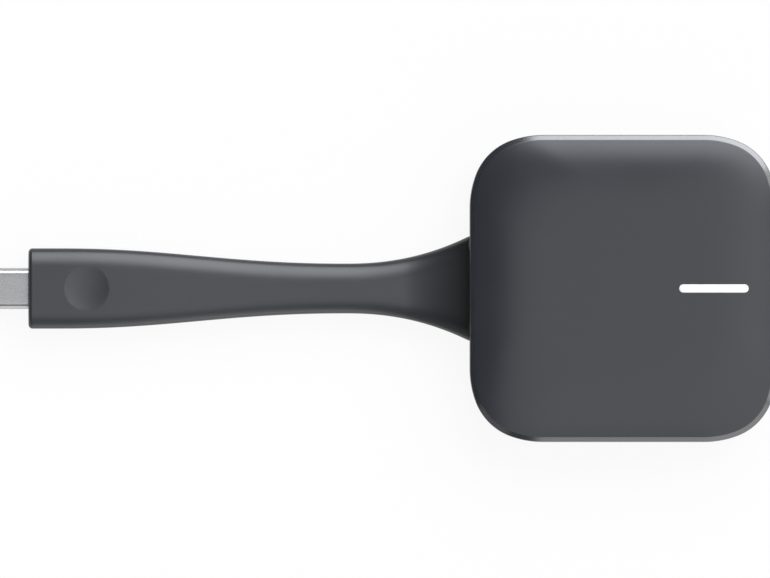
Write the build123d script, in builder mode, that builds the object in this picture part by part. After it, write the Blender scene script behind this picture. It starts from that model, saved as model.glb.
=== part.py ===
from build123d import *
from math import cos, radians, sin
import os

# Wireless presentation dongle: a square puck with a pressing top cover and a
# lit bar, and a flexible tail that ends in a USB Type-C plug.
# Units are millimetres. +Z is up, +X runs from the tail towards the puck, and
# the origin is the middle of the puck's flat underside.

# Puck outline and heights
body_side = 61.3
corner_radius = 11.6
ease_radius = 19.0
ease_angle = 20.0
least_flat = 0.5
bevel_width = 1.0
bevel_height = 0.9
skirt_height = 3.3
rim_width = 1.0
rim_height = 0.8
crown_rise = 1.1
crown_reach = 15.0
crown_steps = (0, 2.5, 6, 10, 15)
wall = 1.5
floor_thickness = 1.5
ceiling_depth = 2.3

# Fits
fit = 0.05
running_fit = 0.06
notch_clearance = 0.2
skirt_clearance = 0.4
cover_travel = 0.3
closed_gap = 0.3

# Tail
tail_length = 88.35
grip_width = 16.1
grip_thickness = 7.2
grip_straight = 4.4
neck_width = 10.0
neck_thickness = 6.4
neck_distance = 24.7
root_width = 20.9
root_thickness = 6.4
flare_power = 2.2
shoulder_power = 2.9
edge_flat = 0.4
end_rounding = 0.6
dimple_width = 9.3
dimple_depth = 0.7
dimple_distance = 11.85
swell_spans = 9
flare_spans = 7

# Tail anchor in the wall
anchor_width = 14.0
anchor_thickness = 4.4
anchor_corner = 1.2
flange_width = 18.0
flange_length = 2.0
cable_diameter = 3.6
cable_end_gap = 1.0

# Cable clamp
clamp_length = 4.0
clamp_width = 18.0
clamp_distance = 1.2
clamp_ear = 1.2
clamp_arch = 1.0
clamp_split = 0.3
clamp_screw_spread = 14.0

# Plug
shell_width = 8.25
shell_thickness = 2.4
shell_reach = 6.65
shell_tail = 5.5
shell_wall = 0.25
insulator_setback = 0.25
mouth_width = 6.9
mouth_height = 1.1
mouth_depth = 5.25
contact_count = 12
contact_pitch = 0.5
contact_width = 0.25
contact_thickness = 0.15
contact_setback = 0.8
contact_bump = 0.1
contact_bump_length = 0.8
contact_tail = 2.0
latch_width = 0.35
latch_thickness = 0.3
latch_setback = 0.7
plug_board_width = 8.4
plug_board_thickness = 0.7
plug_board_length = 9.6
plug_board_gap = 0.3
plug_chip_side = 2.6
plug_chip_height = 0.7
shield_width = 9.6
shield_thickness = 3.6
shield_length = 12.0
shield_wall = 0.3
shield_overlap = 1.2
crimp_length = 3.4
mould_width = 13.2
mould_thickness = 5.0
mould_corner = 1.4
mould_length = 21.0
shoulder_wall = 1.0

# Middle frame
frame_thickness = 1.2
frame_room = 1.0
frame_clearance = 0.1
window_margin = 0.5
window_corner = 2.0
lip_wall = 1.0
lip_height = 1.8
guide_inset = 11.65
guide_diameter = 3.0
sleeve_diameter = 5.0
sleeve_height = 2.8
bumper_slack = 0.2
frame_screw_inset = 8.15
frame_boss_diameter = 5.0
hook_spread = 18.0
hook_inset = 5.45
hook_width = 4.0
hook_thickness = 1.2
hook_barb = 0.8
hook_barb_height = 1.3
hook_play = 0.05
hook_slot_clearance = 0.2
relief_length = 4.0
relief_clearance = 0.7

# Screws
screw_diameter = 1.6
screw_head_diameter = 2.8
screw_head_height = 0.9
screw_length = 3.2
screw_socket = 1.3
screw_socket_depth = 0.45
pilot_fit = 0.02
screw_hole_clearance = 0.1

# Main board
board_gap = 0.5
wire_room = 5.9
board_corner = 2.0
board_thickness = 1.0
board_right_gap = 3.15
board_standoff = 3.1
standoff_diameter = 4.4
board_screw_inset = 3.5
spreader_length = 24.0
spreader_width = 26.0
spreader_thickness = 0.8
spreader_centre = 6.0
board_pad_thickness = 0.8
rib_width = 0.8
rib_pitch = 8.0

# Parts on the board
can_height = 2.0
can_wall = 0.2
can_margin = 0.5
can_switch_gap = 2.15
radio_can_start = 2.0
chip_margin = 0.75
processor_margin = 0.55
memory_length = 4.0
memory_margin = 1.05
radio_margin = 1.8
amplifier_side = 3.0
storage_length = 6.0
storage_width = 5.0
storage_distance = 6.0
storage_margin = 0.5
chip_height = 0.9
inductor_side = 3.5
inductor_height = 1.6
inductor_margin = 1.75
power_distance = 7.5
inductor_pitch = 5.0
capacitor_size = (1.6, 0.8, 0.8)
capacitor_gap = 0.8
capacitor_count = 4
capacitor_pitch = 2.2
crystal_size = (2.5, 3.2, 0.8)
crystal_x = -1.0
crystal_gap = 2.05
antenna_reach = 10.0
antenna_width = 3.0
antenna_height = 0.8
antenna_metal = 0.2
antenna_leg = 2.6
antenna_inset = 2.6
antenna_start = 3.2

# Switch
switch_side = 6.2
switch_height = 1.8
switch_well_diameter = 4.4
switch_floor = 0.4
switch_plate = 0.25
switch_tab = 1.2
dome_diameter = 4.0
dome_rise = 0.7
dome_metal = 0.1
plunger_diameter = 3.2
plunger_flange = 3.8
touch_gap = 0.02

# Lit bar
bar_distance = 12.5
bar_length = 14.0
bar_width = 1.75
bar_flange = 1.2
bar_flange_height = 0.8
film_thickness = 0.2
funnel_wall = 1.0
funnel_gap = 0.8
well_wall = 0.8
well_depth = 2.0
led_count = 4
led_pitch = 3.0
led_size = (1.6, 0.8, 0.6)

# Cover inside
cover_rib_inset = 13.65
cover_rib_height = 0.8
boss_diameter = 6.0
boss_height = 1.4
pusher_stem = 3.0
pusher_diameter = 5.0
pusher_height = 0.78

# Wiring
wire_diameter = 0.7
wire_ring = 1.1
wire_pitch = 1.5
wire_slots = (2.5, 1.5, -1.5, -2.5, -0.5, 0.5)
wire_lead = 1.7
wire_bend = 1.6
connector_width = 10.6
connector_length = 4.2
connector_height = 2.0
connector_wall = 0.5
connector_setback = 1.0
connector_overhang = 0.8
plug_wire_pitch = 1.4

# Worked-out places
half_side = body_side / 2
inner_side = body_side - 2 * wall
board_bottom = floor_thickness + board_standoff
board_top = board_bottom + board_thickness
frame_bottom = board_top + frame_room
base_height = frame_bottom + frame_thickness
anchor_top = frame_bottom - notch_clearance
tail_height = anchor_top - anchor_thickness / 2
cover_bottom = base_height + cover_travel + closed_gap
rim_bottom = cover_bottom + skirt_height
crown_bottom = rim_bottom + rim_height
total_height = crown_bottom + crown_rise
ceiling = total_height - ceiling_depth
guide_spread = body_side - 2 * guide_inset
frame_screw_spread = body_side - 2 * frame_screw_inset
hook_spread_y = body_side - 2 * hook_inset
frame_window = guide_spread - sleeve_diameter - 2 * window_margin
board_width = frame_screw_spread - frame_boss_diameter - 2 * board_gap
sleeve_top = frame_bottom + sleeve_height
wall_outer_x = -half_side
wall_inner_x = wall_outer_x + wall
shoulder_x = wall_outer_x - tail_length
neck_x = wall_outer_x - neck_distance
swell_x = shoulder_x + grip_straight
mould_front_x = shoulder_x + shoulder_wall
mould_back_x = mould_front_x + mould_length
shell_tip_x = shoulder_x - shell_reach
shell_back_x = shoulder_x + shell_tail
insulator_front_x = shell_tip_x + insulator_setback
shield_front_x = shell_back_x - shield_overlap
shield_back_x = shield_front_x + shield_length
plug_board_front_x = shell_back_x + plug_board_gap
plug_board_back_x = plug_board_front_x + plug_board_length
cable_start_x = shield_back_x + shield_wall + fit
flange_front_x = wall_inner_x + fit
flange_back_x = flange_front_x + flange_length
clamp_front_x = flange_back_x + clamp_distance
clamp_back_x = clamp_front_x + clamp_length
cable_end_x = clamp_back_x + cable_end_gap
board_left = cable_end_x + wire_room
board_right = half_side - wall - board_right_gap
board_length = board_right - board_left
board_middle = (board_left + board_right) / 2
bar_x = half_side - bar_distance
crown_side = body_side - 2 * rim_width
cover_rib_side = body_side - 2 * cover_rib_inset
connector_front_x = board_left + connector_setback
wire_end_x = connector_front_x - connector_overhang
wire_height = board_top + connector_height / 2
screw_radius = screw_diameter / 2
pilot_radius = screw_radius + pilot_fit
screw_hole_radius = screw_radius + screw_hole_clearance
board_screw_x = (board_left + board_screw_inset, board_right - board_screw_inset)
board_screw_y = board_width / 2 - board_screw_inset
board_screw_places = [(x, y) for x in board_screw_x for y in (-board_screw_y, board_screw_y)]
clamp_middle_x = (clamp_front_x + clamp_back_x) / 2
clamp_screw_places = [(clamp_middle_x, y) for y in (-clamp_screw_spread / 2, clamp_screw_spread / 2)]

# Places on the board, each the middle of a piece with its length and width
switch_edge = switch_side / 2 + switch_plate
can_start_y = switch_edge + can_switch_gap
can_width = frame_window / 2 - can_margin - can_start_y
can_y = can_start_y + can_width / 2
can_end_x = frame_window / 2 - 2 * can_margin
processor_can = (can_end_x / 2, can_y, can_end_x, can_width)
radio_can = ((radio_can_start + can_end_x) / 2, -can_y, can_end_x - radio_can_start, can_width)
processor_side = can_width - 2 * (can_wall + processor_margin)
processor_chip = (chip_margin + can_wall + processor_side / 2, can_y, processor_side, processor_side)
memory_x = can_end_x - chip_margin - can_wall - memory_length / 2
memory_chip = (memory_x, can_y, memory_length, can_width - 2 * (can_wall + memory_margin))
radio_side = can_width - 2 * (can_wall + radio_margin)
radio_chip = (radio_can_start + chip_margin + can_wall + radio_side / 2, -can_y, radio_side, radio_side)
amplifier_x = can_end_x - chip_margin - can_wall - amplifier_side / 2
amplifier_chip = (amplifier_x, -can_y, amplifier_side, amplifier_side)
storage_y = can_start_y + storage_margin + storage_width / 2
storage_chip = (board_left + storage_distance, -storage_y, storage_length, storage_width)
inductor_y = (frame_window - inductor_side) / 2 - inductor_margin
inductor_middle = (board_left + power_distance, inductor_y)
capacitor_y = (connector_width + capacitor_size[1]) / 2 + capacitor_gap
capacitor_middle = (board_left + power_distance, capacitor_y)
crystal_place = (crystal_x, -switch_edge - crystal_gap - crystal_size[1] / 2)

os.makedirs("parts", exist_ok=True)


def save(piece, name):
    """Labels a finished piece and writes its STEP file."""
    piece.part.label = name
    export_step(piece.part, f"parts/{name}.step")


class SoftSquare(BaseSketchObject):
    """A square whose corners are a tight arc, eased into the sides by two wide ones.

    The trim is how far the outline lies inside the puck's own, and shortens the radii.
    """

    def __init__(self, side, trim, rotation=0, align=None, mode=Mode.ADD):
        half = side / 2
        rise, run = sin(radians(ease_angle)), cos(radians(ease_angle))
        reach = (ease_radius - trim) * (rise + 1 - run) + (corner_radius - trim) * (run - rise)
        fit_in = min(1, (half - least_flat) / reach)
        ease, tight = (ease_radius - trim) * fit_in, (corner_radius - trim) * fit_in
        with BuildSketch() as outline:
            with BuildLine():
                for turn in range(0, 360, 90):
                    start = Vector(half, half - reach * fit_in).rotate(Axis.Z, turn)
                    first = JernArc(start, Vector(0, 1).rotate(Axis.Z, turn), ease, ease_angle)
                    middle = JernArc(first @ 1, first % 1, tight, 90 - 2 * ease_angle)
                    last = JernArc(middle @ 1, middle % 1, ease, ease_angle)
                    Line(last @ 1, start.rotate(Axis.Z, 90))
            make_face()
        super().__init__(obj=outline.sketch, rotation=rotation, align=align, mode=mode)


def level(z):
    """A flat sketch plane at a height."""
    return Plane.XY.offset(z)


def across(x, z=tail_height):
    """A sketch plane square to the tail: its own x is Y and its own y is up."""
    return Plane(origin=(x, 0, z), x_dir=(0, 1, 0), z_dir=(1, 0, 0))


def crown_height(inset):
    """Height of the crowned face at an inset from its edge, a cubic that levels out."""
    return crown_bottom + crown_rise * (1 - (1 - inset / crown_reach) ** 3)


def tail_section(x):
    """Width and thickness of the tail at a place along it."""
    if x <= neck_x:
        share = (neck_x - x) / (neck_x - swell_x)
        grown = 1 - (1 - share**flare_power) ** shoulder_power
        return (
            neck_width + (grip_width - neck_width) * grown,
            neck_thickness + (grip_thickness - neck_thickness) * grown,
        )
    grown = ((x - neck_x) / (wall_outer_x - neck_x)) ** flare_power
    return (
        neck_width + (root_width - neck_width) * grown,
        neck_thickness + (root_thickness - neck_thickness) * grown,
    )


def screws(places, seat):
    """Socket-head screws in one node, their heads resting at a height."""
    with BuildPart() as group:
        with BuildSketch(level(seat)):
            with Locations(*places):
                Circle(screw_head_diameter / 2)
        extrude(amount=screw_head_height)
        with BuildSketch(level(seat)):
            with Locations(*places):
                Circle(screw_radius)
        extrude(amount=-screw_length)
        with BuildSketch(level(seat + screw_head_height)):
            with Locations(*places):
                RegularPolygon(screw_socket / 2, 6)
        extrude(amount=-screw_socket_depth, mode=Mode.SUBTRACT)
    return group


def chip(place, height):
    """A moulded chip on the board with softened upper edges."""
    x, y, length, width = place
    with BuildPart() as body:
        with BuildSketch(level(board_top)):
            with Locations((x, y)):
                Rectangle(length, width)
        extrude(amount=height)
        chamfer(body.faces().sort_by(Axis.Z)[-1].edges(), height / 8)
    return body


def can(place):
    """A drawn metal can over chips, open to the board."""
    x, y, length, width = place
    with BuildPart() as lid:
        with BuildSketch(level(board_top)):
            with Locations((x, y)):
                RectangleRounded(length, width, 3 * can_wall)
        extrude(amount=can_height)
        with BuildSketch(level(board_top)):
            with Locations((x, y)):
                RectangleRounded(length - 2 * can_wall, width - 2 * can_wall, 2 * can_wall)
        extrude(amount=can_height - can_wall, mode=Mode.SUBTRACT)
        chamfer(lid.faces().sort_by(Axis.Z)[-1].edges(), can_wall / 2)
    return lid


def heat_pad(place, inset, bottom, top):
    """A soft pad that fills the gap over a chip."""
    x, y, length, width = place
    with BuildPart() as pad:
        with BuildSketch(level(bottom)):
            with Locations((x, y)):
                RectangleRounded(length - 2 * inset, width - 2 * inset, inset)
        extrude(amount=top - bottom)
    return pad


# Lower case: an open tray with a bevelled foot, the notch that holds the tail,
# bosses for the screws, ribs under the heat spreader and a cradle for the cable
with BuildPart() as base_case:
    for height, inset in ((0, bevel_width), (bevel_height, 0)):
        with BuildSketch(level(height)):
            SoftSquare(body_side - 2 * inset, inset)
    loft(ruled=True)
    with BuildSketch(level(bevel_height)):
        SoftSquare(body_side, 0)
    extrude(amount=base_height - bevel_height)
    with BuildSketch(level(floor_thickness)):
        SoftSquare(inner_side, wall)
    extrude(amount=base_height - floor_thickness, mode=Mode.SUBTRACT)
    notch_bottom = tail_height - anchor_thickness / 2 - notch_clearance
    with BuildSketch(across(wall_outer_x, notch_bottom)):
        Rectangle(
            anchor_width + 2 * notch_clearance,
            base_height - notch_bottom,
            align=(Align.CENTER, Align.MIN),
        )
    extrude(amount=wall, mode=Mode.SUBTRACT)
    with BuildSketch(level(floor_thickness)):
        with GridLocations(frame_screw_spread, frame_screw_spread, 2, 2):
            Circle(frame_boss_diameter / 2)
    extrude(amount=frame_bottom - floor_thickness)
    with BuildSketch(level(floor_thickness)):
        with Locations(*board_screw_places):
            Circle(standoff_diameter / 2)
    extrude(amount=board_standoff)
    rib_height = board_standoff - board_pad_thickness - spreader_thickness
    with BuildSketch(level(floor_thickness)):
        with Locations((spreader_centre, 0)):
            with GridLocations(rib_pitch, 0, 3, 1):
                Rectangle(rib_width, spreader_width)
            with GridLocations(0, rib_pitch, 1, 3):
                Rectangle(spreader_length, rib_width)
    extrude(amount=rib_height)
    with BuildSketch(level(floor_thickness)):
        with Locations((clamp_middle_x, 0)):
            RectangleRounded(clamp_length, clamp_width, 1)
    extrude(amount=tail_height - clamp_split / 2 - floor_thickness)
    with BuildSketch(across(clamp_front_x - fit)):
        Circle(cable_diameter / 2)
    extrude(amount=clamp_length + 2 * fit, mode=Mode.SUBTRACT)
    with BuildSketch(level(frame_bottom)):
        with GridLocations(frame_screw_spread, frame_screw_spread, 2, 2):
            Circle(pilot_radius)
    extrude(amount=frame_thickness - screw_length - fit, mode=Mode.SUBTRACT)
    with BuildSketch(level(board_bottom)):
        with Locations(*board_screw_places):
            Circle(pilot_radius)
    extrude(amount=board_thickness - screw_length - fit, mode=Mode.SUBTRACT)
    with BuildSketch(level(tail_height)):
        with Locations(*clamp_screw_places):
            Circle(pilot_radius)
    extrude(amount=clamp_ear + clamp_split / 2 - screw_length - fit, mode=Mode.SUBTRACT)
save(base_case, "base_case")

# Middle frame: it closes the notch over the tail, carries the guide sleeves
# and hook slots of the cover, and has an upstand that hides the pressing gap
with BuildPart() as mid_frame:
    frame_inset = wall + frame_clearance
    with BuildSketch(level(frame_bottom)):
        SoftSquare(body_side - 2 * frame_inset, frame_inset)
    extrude(amount=frame_thickness)
    with BuildSketch(level(frame_bottom)):
        with Locations((wall_outer_x, 0)):
            Rectangle(2 * wall, anchor_width, align=(Align.MIN, Align.CENTER))
    extrude(amount=frame_thickness)
    lip_inset = wall + skirt_clearance
    with BuildSketch(level(base_height)):
        SoftSquare(body_side - 2 * lip_inset, lip_inset)
        lip_inner = lip_inset + lip_wall
        SoftSquare(body_side - 2 * lip_inner, lip_inner, mode=Mode.SUBTRACT)
    extrude(amount=lip_height)
    with BuildSketch(level(frame_bottom)):
        with GridLocations(guide_spread, guide_spread, 2, 2):
            Circle(sleeve_diameter / 2)
    extrude(amount=sleeve_height)
    with BuildSketch(level(frame_bottom)):
        RectangleRounded(frame_window, frame_window, window_corner)
        with Locations((bar_x, 0)):
            RectangleRounded(
                bar_length + 2 * (bar_flange + skirt_clearance),
                bar_width + 2 * (bar_flange + 2 * skirt_clearance),
                skirt_clearance,
            )
        with Locations((wire_end_x + wire_lead, 0)):
            Rectangle(
                relief_length + wire_lead,
                connector_width + 2 * relief_clearance,
                align=(Align.MAX, Align.CENTER),
            )
    extrude(amount=frame_thickness, mode=Mode.SUBTRACT)
    with BuildSketch(level(frame_bottom)):
        with GridLocations(guide_spread, guide_spread, 2, 2):
            Circle(guide_diameter / 2 + running_fit)
        with GridLocations(frame_screw_spread, frame_screw_spread, 2, 2):
            Circle(screw_hole_radius)
        with GridLocations(hook_spread, hook_spread_y, 2, 2):
            Rectangle(hook_width + 2 * hook_slot_clearance, hook_thickness + 2 * hook_slot_clearance)
    extrude(amount=sleeve_height, mode=Mode.SUBTRACT)
save(mid_frame, "mid_frame")

frame_screw_places = [
    (x, y)
    for x in (-frame_screw_spread / 2, frame_screw_spread / 2)
    for y in (-frame_screw_spread / 2, frame_screw_spread / 2)
]
save(screws(frame_screw_places, base_height), "frame_screws")

# Silicone bumpers round the guide posts, which lift the cover back
with BuildPart() as return_bumpers:
    with BuildSketch(level(sleeve_top)):
        with GridLocations(guide_spread, guide_spread, 2, 2):
            Circle(sleeve_diameter / 2)
            Circle(guide_diameter / 2 + bumper_slack, mode=Mode.SUBTRACT)
    extrude(amount=ceiling - sleeve_top)
save(return_bumpers, "return_bumpers")

# Top cover: the whole upper half is the push button. A crowned face falls away
# to a crisp bevelled rim, and the skirt hides the guides
with BuildPart() as top_cover:
    with BuildSketch(level(cover_bottom)):
        SoftSquare(body_side, 0)
    extrude(amount=skirt_height)
    for height, inset in ((rim_bottom, 0), (crown_bottom, rim_width)):
        with BuildSketch(level(height)):
            SoftSquare(body_side - 2 * inset, inset)
    loft(ruled=True)
    for step in crown_steps:
        with BuildSketch(level(crown_height(step))):
            SoftSquare(crown_side - 2 * step, rim_width)
    loft()
    with BuildSketch(level(cover_bottom)):
        SoftSquare(inner_side, wall)
    extrude(amount=ceiling - cover_bottom, mode=Mode.SUBTRACT)
    with BuildSketch(level(ceiling)):
        SoftSquare(cover_rib_side + rib_width, wall)
        SoftSquare(cover_rib_side - rib_width, wall + rib_width, mode=Mode.SUBTRACT)
        Rectangle(rib_width, cover_rib_side)
        Rectangle(cover_rib_side / 2, rib_width, align=(Align.MAX, Align.CENTER))
    extrude(amount=-cover_rib_height)
    with BuildSketch(level(ceiling)):
        Circle(boss_diameter / 2)
    extrude(amount=-boss_height)
    well_length = bar_length + 2 * (bar_flange + 2 * fit + well_wall)
    well_width = bar_width + 2 * (bar_flange + 2 * fit + well_wall)
    with BuildSketch(level(ceiling)):
        with Locations((bar_x, 0)):
            RectangleRounded(well_length, well_width, well_wall)
    extrude(amount=-well_depth)
    with BuildSketch(level(ceiling)):
        with GridLocations(guide_spread, guide_spread, 2, 2):
            Circle(guide_diameter / 2)
    extrude(amount=frame_bottom + touch_gap - ceiling)
    with BuildSketch(level(ceiling)):
        with GridLocations(hook_spread, hook_spread_y, 2, 2):
            Rectangle(hook_width, hook_thickness)
    barb_top = frame_bottom - hook_play
    extrude(amount=barb_top - hook_barb_height - ceiling)
    for side in (-1, 1):
        for x in (-hook_spread / 2, hook_spread / 2):
            outer_y = side * (hook_spread_y + hook_thickness) / 2
            corner = (x - side * hook_width / 2, outer_y, barb_top)
            with BuildSketch(Plane(origin=corner, x_dir=(0, side, 0), z_dir=(side, 0, 0))):
                with BuildLine():
                    Polyline((0, 0), (hook_barb, 0), (0, -hook_barb_height), close=True)
                make_face()
            extrude(amount=hook_width)
    with BuildSketch(level(ceiling)):
        with Locations((bar_x, 0)):
            RectangleRounded(well_length - 2 * well_wall, well_width - 2 * well_wall, fit)
    extrude(amount=-well_depth, mode=Mode.SUBTRACT)
    with BuildSketch(level(ceiling - boss_height)):
        Circle(pusher_stem / 2)
    extrude(amount=boss_height, mode=Mode.SUBTRACT)
    with BuildSketch(level(ceiling)):
        with Locations((bar_x, 0)):
            SlotOverall(bar_length + 2 * fit, bar_width + 2 * fit)
    extrude(amount=ceiling_depth, mode=Mode.SUBTRACT)
save(top_cover, "top_cover")

# Lit bar: a white lens, flush with the crowned face, on a flange that sits
# under the cover
with BuildPart() as light_bar:
    with BuildSketch(Plane.XZ):
        with BuildLine():
            edge_x = crown_side / 2
            bar_start_x = bar_x - bar_length / 2
            Bezier(
                (edge_x, crown_bottom),
                (edge_x - crown_reach / 3, total_height),
                (edge_x - 2 * crown_reach / 3, total_height),
                (edge_x - crown_reach, total_height),
            )
            Polyline(
                (edge_x - crown_reach, total_height),
                (bar_start_x, total_height),
                (bar_start_x, ceiling),
                (edge_x, ceiling),
                (edge_x, crown_bottom),
            )
        make_face()
    extrude(amount=bar_width / 2, both=True)
    with BuildSketch(level(ceiling)):
        with Locations((bar_x, 0)):
            SlotOverall(bar_length, bar_width)
    extrude(amount=ceiling_depth, mode=Mode.INTERSECT)
    with BuildSketch(level(ceiling)):
        with Locations((bar_x, 0)):
            SlotOverall(bar_length + 2 * bar_flange, bar_width + 2 * bar_flange)
    extrude(amount=-bar_flange_height)
save(light_bar, "light_bar")

film_top = ceiling - bar_flange_height
with BuildPart() as diffuser_film:
    with BuildSketch(level(film_top)):
        with Locations((bar_x, 0)):
            SlotOverall(bar_length + 2 * bar_flange, bar_width + 2 * bar_flange)
    extrude(amount=-film_thickness)
save(diffuser_film, "diffuser_film")

# Funnel that keeps the light of the row of LEDs under the bar
with BuildPart() as light_funnel:
    with BuildSketch(level(film_top - film_thickness)):
        with Locations((bar_x, 0)):
            SlotOverall(bar_length + 2 * bar_flange, bar_width + 2 * bar_flange)
            SlotOverall(
                bar_length + 2 * (bar_flange - funnel_wall),
                bar_width + 2 * (bar_flange - funnel_wall),
                mode=Mode.SUBTRACT,
            )
    extrude(amount=board_top + led_size[2] + funnel_gap - film_top + film_thickness)
save(light_funnel, "light_funnel")

# Silicone pusher in the cover's centre boss
with BuildPart() as switch_pusher:
    with BuildSketch(level(ceiling - boss_height)):
        Circle(pusher_diameter / 2)
    extrude(amount=-pusher_height)
    with BuildSketch(level(ceiling - boss_height)):
        Circle(pusher_stem / 2 - fit)
    extrude(amount=boss_height - fit)
    chamfer(switch_pusher.faces().sort_by(Axis.Z)[0].edges(), pusher_height / 4)
save(switch_pusher, "switch_pusher")

# Main board and what is soldered to it
with BuildPart() as main_board:
    with BuildSketch(level(board_bottom)):
        with Locations((board_middle, 0)):
            RectangleRounded(board_length, board_width, board_corner)
        with Locations(*board_screw_places):
            Circle(screw_hole_radius, mode=Mode.SUBTRACT)
    extrude(amount=board_thickness)
save(main_board, "main_board")

save(screws(board_screw_places, board_top), "board_screws")

can_ceiling = board_top + can_height - can_wall
save(can(processor_can), "processor_can")
save(can(radio_can), "radio_can")
save(chip(processor_chip, chip_height), "processor_chip")
save(chip(memory_chip, chip_height), "memory_chip")
save(chip(radio_chip, chip_height), "radio_chip")
save(chip(amplifier_chip, chip_height), "amplifier_chip")
save(chip(storage_chip, chip_height), "storage_chip")
save(heat_pad(processor_chip, 0.5, board_top + chip_height, can_ceiling), "processor_pad")
save(heat_pad(radio_chip, 0.5, board_top + chip_height, can_ceiling), "radio_pad")

with BuildPart() as power_inductors:
    with BuildSketch(level(board_top)):
        with Locations(inductor_middle):
            with GridLocations(inductor_pitch, 0, 2, 1):
                RectangleRounded(inductor_side, inductor_side, inductor_side / 6)
    extrude(amount=inductor_height)
save(power_inductors, "power_inductors")

with BuildPart() as capacitors:
    with BuildSketch(level(board_top)):
        with Locations(capacitor_middle):
            with GridLocations(capacitor_pitch, 0, capacitor_count, 1):
                Rectangle(capacitor_size[0], capacitor_size[1])
    extrude(amount=capacitor_size[2])
save(capacitors, "capacitors")

with BuildPart() as clock_crystal:
    with BuildSketch(level(board_top)):
        with Locations(crystal_place):
            RectangleRounded(crystal_size[0], crystal_size[1], crystal_size[2] / 4)
    extrude(amount=crystal_size[2])
save(clock_crystal, "clock_crystal")

with BuildPart() as indicator_leds:
    with BuildSketch(level(board_top)):
        with Locations((bar_x, 0)):
            with GridLocations(led_pitch, 0, led_count, 1):
                Rectangle(led_size[0], led_size[1])
    extrude(amount=led_size[2])
save(indicator_leds, "indicator_leds")

# Stamped antennas: a strip on two legs, a long arm past the feed
antenna_x = board_right - antenna_inset
with BuildPart() as antennas:
    for side in (-1, 1):
        corner = (antenna_x - side * antenna_width / 2, side * antenna_start, board_top)
        with BuildSketch(Plane(origin=corner, x_dir=(0, side, 0), z_dir=(side, 0, 0))):
            with BuildLine():
                Polyline(
                    (0, 0),
                    (antenna_metal, 0),
                    (antenna_metal, antenna_height - antenna_metal),
                    (antenna_leg, antenna_height - antenna_metal),
                    (antenna_leg, 0),
                    (antenna_leg + antenna_metal, 0),
                    (antenna_leg + antenna_metal, antenna_height - antenna_metal),
                    (antenna_reach, antenna_height - antenna_metal),
                    (antenna_reach, antenna_height),
                    (0, antenna_height),
                    close=True,
                )
            make_face()
        extrude(amount=antenna_width)
save(antennas, "antennas")

# Aluminium plate and pad that carry the board's heat to the lower case
pad_bottom = board_bottom - board_pad_thickness
with BuildPart() as board_pad:
    with BuildSketch(level(pad_bottom)):
        with Locations((spreader_centre, 0)):
            RectangleRounded(spreader_length - 2, spreader_width - 2, 1)
    extrude(amount=board_pad_thickness)
save(board_pad, "board_pad")

with BuildPart() as heat_spreader:
    with BuildSketch(level(pad_bottom - spreader_thickness)):
        with Locations((spreader_centre, 0)):
            RectangleRounded(spreader_length, spreader_width, 2)
    extrude(amount=spreader_thickness)
save(heat_spreader, "heat_spreader")

# Push switch under the middle of the cover
well_top = board_top + switch_height
with BuildPart() as switch_housing:
    with BuildSketch(level(board_top)):
        RectangleRounded(switch_side, switch_side, 0.5)
    extrude(amount=switch_height)
    with BuildSketch(level(board_top + switch_floor)):
        Circle(switch_well_diameter / 2)
    extrude(amount=switch_height - switch_floor, mode=Mode.SUBTRACT)
save(switch_housing, "switch_housing")

with BuildPart() as switch_plate_cover:
    with BuildSketch(level(well_top)):
        Rectangle(switch_side, switch_side + 2 * switch_plate)
        Circle(plunger_diameter / 2 + running_fit, mode=Mode.SUBTRACT)
    extrude(amount=switch_plate)
    with BuildSketch(level(well_top)):
        with GridLocations(0, switch_side + switch_plate, 1, 2):
            Rectangle(switch_side / 2, switch_plate)
    extrude(amount=-switch_tab)
save(switch_plate_cover, "switch_plate")

dome_base = board_top + switch_floor
plunger_bottom = dome_base + dome_rise + dome_metal + touch_gap
with BuildPart() as switch_dome:
    with BuildSketch(Plane.XZ):
        with BuildLine():
            rim = dome_diameter / 2
            ThreePointArc((-rim, dome_base), (0, dome_base + dome_rise), (rim, dome_base))
            offset(amount=dome_metal, side=Side.LEFT)
        make_face()
        Rectangle(dome_diameter, 2 * total_height, align=(Align.MAX, Align.CENTER), mode=Mode.SUBTRACT)
    revolve(axis=Axis.Z)
save(switch_dome, "switch_dome")

with BuildPart() as switch_plunger:
    with BuildSketch(level(plunger_bottom)):
        Circle(plunger_flange / 2)
    extrude(amount=well_top - touch_gap - plunger_bottom)
    with BuildSketch(level(plunger_bottom)):
        Circle(plunger_diameter / 2)
    extrude(amount=ceiling - boss_height - pusher_height - touch_gap - plunger_bottom)
    chamfer(switch_plunger.faces().sort_by(Axis.Z)[-1].edges(), plunger_diameter / 16)
save(switch_plunger, "switch_plunger")

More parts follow.
